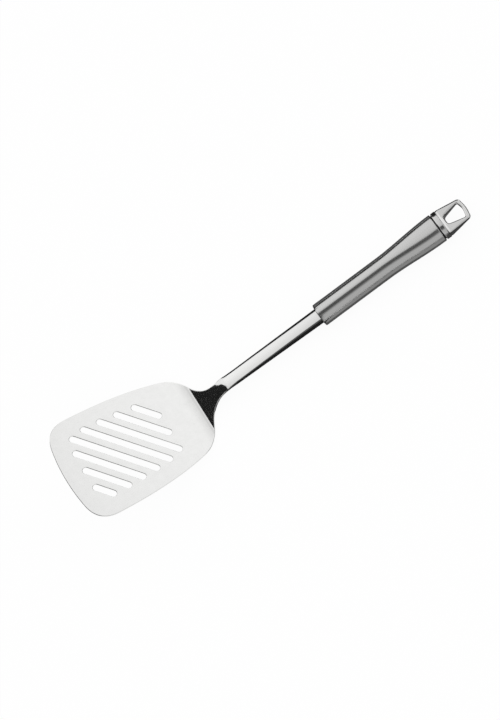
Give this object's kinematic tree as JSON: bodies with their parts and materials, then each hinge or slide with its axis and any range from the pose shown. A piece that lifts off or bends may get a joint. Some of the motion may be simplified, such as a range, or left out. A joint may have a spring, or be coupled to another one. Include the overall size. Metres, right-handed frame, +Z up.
{
  "type": "slotted spatula",
  "caption": "Stainless steel slotted turner: flat blade with diagonal slots on a cranked neck, flat shaft, hollow satin handle and cast end with a hanging hole.",
  "frame": {"origin": "middle of the footprint, on the surface that the spatula lies on", "axes": "+X towards the hanging end, +Y across the blade, +Z up with the blade's upper face upwards"},
  "size_m": [0.367, 0.0888, 0.0505],
  "materials": {
    "blade_steel": "finely polished stainless steel sheet",
    "shaft_steel": "mirror-polished stainless steel",
    "plate_steel": "plain pressed stainless steel",
    "weld_metal": "bare weld",
    "handle_steel": "satin stainless steel, brushed lengthwise",
    "cap_steel": "polished cast stainless steel"
  },
  "bodies": {
    "root": {"slotted_blade": "blade_steel", "neck_weld": "shaft_steel", "shaft": "shaft_steel", "front_plate": "plate_steel", "shaft_weld": "weld_metal", "plate_weld": "weld_metal", "handle_shell": "handle_steel", "cap_bond": "weld_metal", "end_cap": "cap_steel"}
  },
  "joints": []
}
